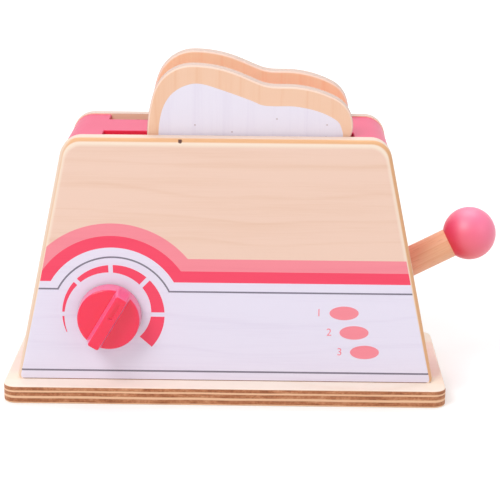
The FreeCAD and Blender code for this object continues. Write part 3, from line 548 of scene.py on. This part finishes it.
def make_pink_paint():
    """Satin paint, with painted shade in a deeper red on the slots' long walls, and the wood's grain just
    showing through.
    """
    finish = Finish("pink_paint", 0.38)
    grain = Grain(finish, GRAIN_BACK, 12.0, 0.8)
    cloud = finish.noise(finish.place, 60.0, detail=3.0)
    shade = finish.mix(cloud, colour(230, 72, 119), colour(225, 64, 111))
    across = finish.calc("ABSOLUTE", finish.parts(finish.place)[X])
    slot_shade_reach = finish.between(across, SLOT_HALF * MM, (SLOT_HALF - SLOT_FADE) * MM)
    painted_slot_shade = finish.calc("MULTIPLY", slot_shade_reach, finish.between(finish.facing(Y), 0.7, 0.9))
    # Painted shade: the slots' long walls get a deeper red, standing in for the shade down in the slots.
    shade = finish.mix(painted_slot_shade, shade, colour(255, 37, 76))
    drops = finish.noise(finish.place, 1300.0, detail=1.0)
    finish.bump(finish.calc("MULTIPLY_ADD", grain.fibres, 0.6, drops), 0.02 * MM)
    return finish.paint(shade)


def make_pink_gloss():
    """Sprayed gloss on the turned ball: painted light makes it paler above and to the right and deeper red
    below and to the left, with faint ripples.
    """
    finish = Finish("pink_gloss", 0.5, coat=1.0, coat_roughness=0.5)
    finish.surface.inputs["Coat IOR"].default_value = 1.9
    cloud = finish.noise(finish.place, 90.0, detail=2.0)
    # Painted light: paler pink where the surface faces up and to the right, deeper red where it faces down
    # and to the left.
    across, _, upright = finish.parts(finish.normal)
    above = finish.calc("MULTIPLY_ADD", across, 0.55, upright)
    shade = finish.mix(finish.between(above, -0.7, 0.9), colour(232, 48, 68), colour(250, 98, 148))
    shade = finish.mix(finish.calc("MULTIPLY", cloud, 0.15), shade, colour(226, 60, 86))
    ripple = finish.noise(finish.place, 420.0, detail=2.0)
    finish.bump(ripple, 0.03 * MM)
    return finish.paint(shade)


def make_knob_plastic():
    """Moulded translucent plastic, with a painted reflection that makes its walls paler than its faces."""
    finish = Finish("knob_plastic", 0.3, coat=0.7, coat_roughness=0.16, subsurface=0.3)
    finish.surface.inputs["Specular IOR Level"].default_value = 0.35
    flow = finish.noise(finish.stretch((60.0, 60.0, 25.0)), detail=2.0)
    shade = finish.mix(flow, colour(252, 24, 78), colour(248, 18, 71))
    # Painted reflection: the walls, which turn away from the front, get a paler pink as if they caught the
    # light.
    shade = finish.mix(finish.between(finish.facing(Y), 0.75, 0.35), shade, colour(250, 108, 158))
    finish.bump(finish.noise(finish.place, 2200.0, detail=1.0), 0.01 * MM)
    return finish.paint(shade)


def make_steel():
    """Zinc plated steel with fine scratches."""
    finish = Finish("steel", 0.34)
    finish.surface.inputs["Metallic"].default_value = 1.0
    scratch = finish.noise(finish.stretch((300.0, 300.0, 2400.0)), detail=3.0)
    finish.bump(scratch, 0.01 * MM)
    return finish.paint(finish.mix(scratch, colour(196, 198, 204), colour(168, 170, 178)))


def make_fibre():
    """Pressed fibre of the dial's washers."""
    finish = Finish("fibre", 0.8)
    felt = finish.noise(finish.place, 2600.0, detail=4.0)
    finish.bump(felt, 0.05 * MM)
    return finish.paint(finish.mix(felt, colour(120, 92, 74), colour(86, 64, 52)))


def make_ink(name, pale, dark, turn=GRAIN_ACROSS, shift=PRINT_SHIFT):
    """Printing ink, which lets the grain of the wood below show a little."""
    finish = Finish(name, 0.48)
    grain = Grain(finish, turn, shift=shift)
    finish.bump(grain.fibres, 0.03 * MM)
    share = grain.share(lines=0.25, streaks=0.7, fibres=0.6, clouds=0.3)
    return finish.paint(finish.mix(share, pale, dark))


finishes = {
    "plywood": make_plywood(),
    "panel_wood": make_panel_wood(),
    "knotted_wood": make_knotted_wood(),
    "pink_paint": make_pink_paint(),
    "front_toast": make_toast_wood("toast_wood_front", colour(246, 203, 174), colour(235, 175, 130),
                                   shift=CRUMB_SHIFT),
    # The rear slice's copy of the toast wood is more orange: painted reflected light, from the warm light
    # bounced between the slices.
    "rear_toast": make_toast_wood("toast_wood_rear_painted_bounce", colour(255, 213, 171), colour(251, 181, 130),
                                  shift=0.62),
    "lever_wood": make_dowel_wood("dowel_wood_lever", GRAIN_OF_LEVER),
    "guide_wood": make_dowel_wood("dowel_wood_guide", GRAIN_UP, shift=0.4),
    "cross_wood": make_dowel_wood("dowel_wood_cross", GRAIN_BACK, shift=0.9),
    "inner_wood": make_inner_wood(),
    "pink_gloss": make_pink_gloss(),
    "knob_plastic": make_knob_plastic(),
    "steel": make_steel(),
    "fibre": make_fibre(),
}
NODE_FINISH = {
    "plywood": ["base_board"],
    "panel_wood": ["back_panel"],
    "knotted_wood": ["front_panel"],
    "pink_paint": ["side_board_left", "side_board_right", "top_board"],
    "front_toast": ["toast_front"],
    "rear_toast": ["toast_rear"],
    "lever_wood": ["lever_rod"],
    "guide_wood": ["lift_guide_left", "lift_guide_right"],
    "cross_wood": ["lever_cross_bar", "panel_dowels"],
    "inner_wood": ["lift_tray", "lift_cheek_front", "lift_cheek_rear"],
    "pink_gloss": ["lever_ball"],
    "knob_plastic": ["dial_knob"],
    "steel": ["lever_pivot_pin", "dial_spindle", "dial_nut", "base_screws"],
    "fibre": ["dial_front_washer", "dial_rear_washer"],
}
for finish_name, nodes in NODE_FINISH.items():
    for node in nodes:
        for place in frame["nodes"][node].material_slots:
            place.material = finishes[finish_name]


# The printed front

def print_side(height):
    """Half the width of the print at a height: it laps onto the panel's rounded edges,
    further near the foot, and its bottom corners are rounded."""
    share = min(1.0, (height - PANEL_FOOT) / INSET_RUN)
    inset = INSET_AT_FOOT + (INSET_ABOVE - INSET_AT_FOOT) * share
    half = PANEL_FOOT_HALF - SIDE_SLOPE * (height - PANEL_FOOT) - inset * SIDE_LEAN
    below = max(0.0, PANEL_FOOT + FOOT_RADIUS - height)
    return half - FOOT_RADIUS + math.sqrt(FOOT_RADIUS ** 2 - below ** 2)


def lap_over(mesh):
    """Bend the ends of a flat print back along the panel's rounded left and right edges."""
    for side in (-1, 1):
        outward = Vector((side, 0.0, SIDE_SLOPE)).normalized()
        corner = Vector((side * PANEL_FOOT_HALF * MM, 0.0, PANEL_FOOT * MM))
        for depth in LAP_CUTS:
            everything = mesh.verts[:] + mesh.edges[:] + mesh.faces[:]
            cut = corner - outward * depth * MM
            bmesh.ops.bisect_plane(mesh, geom=everything, plane_co=cut, plane_no=outward)
        for vertex in mesh.verts:
            short = ROUND_OVER - (corner - vertex.co).dot(outward) / MM
            if short > 0:
                vertex.co.y += (ROUND_OVER - math.sqrt(ROUND_OVER ** 2 - short ** 2)) * MM


def band_edge(edge, raised=0.0):
    """Upper edge of a printed shape from the panel's left side to its right side: flat,
    up over the dial along an arc, and flat again. Raised is how far it lies outside the edge."""
    left_flat, right_flat, middle, radius = edge
    left_flat, right_flat, radius = left_flat + raised, right_flat + raised, radius + raised
    right = math.degrees(math.asin((right_flat - middle[1]) / radius))
    left = 180 - math.degrees(math.asin((left_flat - middle[1]) / radius))
    start = [(-print_side(left_flat), left_flat)]
    if middle[0] + radius * math.cos(math.radians(left)) < start[0][0]:
        side = Vector((SIDE_SLOPE, 1.0)).normalized()
        left = angle_from(middle, meet(middle, radius, start[0], side))
        start = []
    return start + arc(middle, radius, left, right) + [(print_side(right_flat), right_flat)]


def strip(low, high):
    """Outline of a strip across the panel between two heights."""
    upper, lower = print_side(high), print_side(low)
    return [(-upper, high), (upper, high), (lower, low), (-lower, low)]


def line_along(edge, width):
    """Outline of a printed line whose middle follows an edge."""
    return band_edge(edge, width / 2) + band_edge(edge, -width / 2)[::-1]


def make_print():
    """All the print on the front panel, and a line of painted shade along its foot. Level 1 lies on top of
    level 0.
    """
    white = make_ink("ink_white", colour(236, 230, 247), colour(224, 215, 236))
    light = make_ink("ink_light_pink", colour(250, 142, 155), colour(242, 128, 143))
    dark = make_ink("ink_dark_pink", colour(250, 69, 102), colour(241, 57, 90))
    grey = make_ink("ink_grey", colour(128, 122, 138), colour(108, 102, 118))
    # Painted shade: a thin brown line along the panel's foot, where it meets the base.
    foot_shade_ink = make_ink("foot_painted_shade", colour(150, 112, 90), colour(122, 86, 68))

    def on_panel(name, outlines, ink, level=0):
        face = PANEL_FACE - level * INK_THICKNESS
        return decal(name, outlines, face, ink, "casing", bend=lap_over)

    right = [(print_side(PANEL_FOOT + rise), PANEL_FOOT + rise) for rise in (INSET_RUN, *FOOT_STEPS)]
    left = [(-x, z) for x, z in reversed(right)]
    on_panel("print_field", [band_edge(WHITE_EDGE) + right + left], white)
    on_panel("print_dark_band", [band_edge(DARK_EDGE) + band_edge(WHITE_EDGE)[::-1]], dark)
    on_panel("print_light_band", [band_edge(LIGHT_EDGE) + band_edge(DARK_EDGE)[::-1]], light)
    on_panel("print_upper_line", [line_along(LINE_EDGE, UPPER_LINE_WIDTH)], grey, 1)
    half_line = LOW_LINE_WIDTH / 2
    on_panel("print_lower_line", [strip(LOW_LINE_HEIGHT - half_line, LOW_LINE_HEIGHT + half_line)], grey, 1)
    on_panel("foot_painted_shade", [strip(PANEL_FOOT, PANEL_FOOT + FOOT_SHADE_HEIGHT)], foot_shade_ink, 1)
    on_panel("print_dial_scale", scale_segments(), dark, 1)
    for number, (x, z) in enumerate(BUTTON_PLACES, start=1):
        oval = [(x + across * BUTTON_SIZE[0] / 2, z + up * BUTTON_SIZE[1] / 2)
                for across, up in arc((0.0, 0.0), 1.0, 0, 350, step=10)]
        on_panel(f"print_button_{number}", [oval], light, 1)
        make_number(number, x - NUMBER_SETBACK, z, light)


def scale_segments():
    """The dial scale's segments: the gaps between them have parallel sides."""
    ends = [(SCALE_FIRST_ANGLE, 0)]
    for angle in SCALE_GAP_ANGLES:
        ends += [(angle, 1), (angle, -1)]
    ends.append((SCALE_LAST_ANGLE, 0))
    return [scale_edge(scale_outer, start, end) + scale_edge(scale_inner, start, end)[::-1]
            for start, end in zip(ends[::2], ends[1::2])]


def scale_outer(_):
    """Radius of the scale's outer edge, the same at every angle."""
    return SCALE_RADIUS


def scale_inner(angle):
    """Radius of the scale's inner edge at an angle."""
    return SCALE_RADIUS - SCALE_THICKNESS + SCALE_THINNING * angle


def scale_edge(radius_at, start, end, step=2.0):
    """One edge of a segment. Each end is an angle and the side of the gap there, 0 for no gap."""
    first, last = (angle + side * math.degrees(math.asin(SCALE_GAP / 2 / radius_at(angle)))
                   for angle, side in (start, end))
    count = math.ceil(abs(last - first) / step)
    angles = [first + (last - first) * i / count for i in range(count + 1)]
    return [arc(SCALE_MIDDLE, radius_at(angle), angle, angle)[0] for angle in angles]


def make_number(number, x, z, ink):
    """Plain number beside a printed button."""
    text = bpy.data.curves.new(f"number_{number}", "FONT")
    text.body = str(number)
    text.size = NUMBER_HEIGHT / FIGURE_SHARE * MM
    text.extrude = INK_THICKNESS * MM
    text.align_x = "CENTER"
    text.align_y = "CENTER"
    figure = bpy.data.objects.new(f"number_{number}_text", text)
    bpy.context.scene.collection.objects.link(figure)
    figure.rotation_euler = (math.radians(90), 0.0, 0.0)
    figure.location = (x * MM, (PANEL_FACE - INK_THICKNESS) * MM, z * MM)
    bpy.context.view_layer.update()
    piece = empty_mesh(f"print_number_{number}")
    shape = bpy.data.meshes.new_from_object(figure.evaluated_get(bpy.context.evaluated_depsgraph_get()))
    shape.transform(figure.matrix_world)
    piece.data = shape
    piece.data.materials.clear()
    piece.data.materials.append(ink)
    bpy.data.objects.remove(figure)
    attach(piece, "casing")


# Crumb prints on the slices

def make_crumbs():
    """A white print with small specks on both faces of each slice."""
    crumb = make_ink("ink_crumb", colour(238, 232, 246), colour(226, 217, 236), GRAIN_UP, CRUMB_SHIFT)
    speck = make_ink("ink_speck", colour(206, 190, 198), colour(190, 172, 180), GRAIN_UP, CRUMB_SHIFT)
    outline = smooth_loop(CRUMB_OUTLINE)
    specks = [arc(middle, SPECK_RADIUS, 0, 324, step=36) for middle in CRUMB_SPECKS]
    front_low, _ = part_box("toast_front")
    for node, body in (("toast_front", "front_slice"), ("toast_rear", "rear_slice")):
        low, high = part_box(node)
        across, up = (low.x - front_low.x) / MM, (low.z - front_low.z) / MM

        def moved(shape):
            return [(x + across, z + up) for x, z in shape]

        for side, face, outward in (("a", low.y / MM, 1), ("b", high.y / MM, -1)):
            ink = outward * INK_THICKNESS
            decal(f"{node}_crumb_{side}", [moved(outline)], face, crumb, body, ink)
            spots = [moved(spot) for spot in specks]
            decal(f"{node}_specks_{side}", spots, face - ink, speck, body, ink)


make_print()
make_crumbs()


# Floor, light and camera

def seen_share(tree):
    """1 for what the camera sees, straight or in a reflection or through glass."""
    path = tree.nodes.new("ShaderNodeLightPath")
    total = path.outputs["Is Camera Ray"]
    for ray in ("Is Glossy Ray", "Is Transmission Ray"):
        either = tree.nodes.new("ShaderNodeMath")
        either.operation = "ADD"
        either.use_clamp = True
        tree.links.new(total, either.inputs[0])
        tree.links.new(path.outputs[ray], either.inputs[1])
        total = either.outputs[0]
    return total


def make_floor():
    """Pale floor that keeps the object's shadow and shows white where nothing shades it."""
    floor = empty_mesh("floor")
    mesh = bmesh.new()
    bmesh.ops.create_grid(mesh, x_segments=1, y_segments=1, size=FLOOR_HALF)
    mesh.to_mesh(floor.data)
    mesh.free()
    finish = Finish("floor", 0.9)
    tree = finish.tree
    finish.surface.inputs["Base Color"].default_value = (FLOOR_GREY, FLOOR_GREY, FLOOR_GREY, 1.0)
    finish.surface.inputs["Specular IOR Level"].default_value = 0.0
    glow = finish.add("ShaderNodeEmission")
    away = finish.add("ShaderNodeVectorMath", operation="LENGTH")
    finish.feed(away.inputs[0], finish.place)
    far = finish.between(away.outputs["Value"], FAR_START, FAR_END)
    level = finish.calc("MULTIPLY_ADD", far, FAR_EXTRA_GLOW, FLOOR_GLOW)
    finish.feed(glow.inputs["Strength"], finish.calc("MULTIPLY", seen_share(tree), level))
    total = finish.add("ShaderNodeAddShader")
    finish.feed(total.inputs[0], finish.surface.outputs[0])
    finish.feed(total.inputs[1], glow.outputs[0])
    finish.feed(tree.nodes["Material Output"].inputs["Surface"], total.outputs[0])
    floor.data.materials.append(finish.material)


def make_world():
    """White surroundings, at a plain level as a light and at full white where they are seen."""
    world = bpy.data.worlds.new("studio")
    bpy.context.scene.world = world
    world.use_nodes = True
    tree = world.node_tree
    background = tree.nodes["Background"]
    background.inputs["Color"].default_value = (1.0, 1.0, 1.0, 1.0)
    level = tree.nodes.new("ShaderNodeMapRange")
    tree.links.new(seen_share(tree), level.inputs["Value"])
    level.inputs["To Min"].default_value = WORLD_LEVEL
    level.inputs["To Max"].default_value = 1.0
    tree.links.new(level.outputs[0], background.inputs["Strength"])


def make_lamp(name, place, size, watts):
    """Square soft lamp that looks at the middle of the toy."""
    lamp = bpy.data.lights.new(name, "AREA")
    lamp.shape = "SQUARE"
    lamp.size = size
    lamp.energy = watts
    holder = bpy.data.objects.new(name, lamp)
    bpy.context.scene.collection.objects.link(holder)
    holder.location = place
    aim = Vector(LAMP_AIM) - Vector(place)
    holder.rotation_euler = aim.to_track_quat("-Z", "Y").to_euler()


def make_camera():
    """Camera at the photograph's place and angle."""
    lens = bpy.data.cameras.new("camera")
    lens.lens = FOCAL_SHARE * lens.sensor_width
    lens.clip_start = CAMERA_NEAR * MM
    camera = bpy.data.objects.new("camera", lens)
    bpy.context.scene.collection.objects.link(camera)
    turn = (Matrix.Rotation(math.radians(CAMERA_YAW), 4, "Z")
            @ Matrix.Rotation(math.radians(90 - CAMERA_PITCH), 4, "X")
            @ Matrix.Rotation(math.radians(CAMERA_ROLL), 4, "Z"))
    camera.matrix_world = Matrix.Translation(Vector(CAMERA_PLACE) * MM) @ turn
    bpy.context.scene.camera = camera


make_floor()
make_world()
for lamp_settings in LAMPS:
    make_lamp(*lamp_settings)
make_camera()
bpy.context.scene.view_settings.view_transform = "Standard"
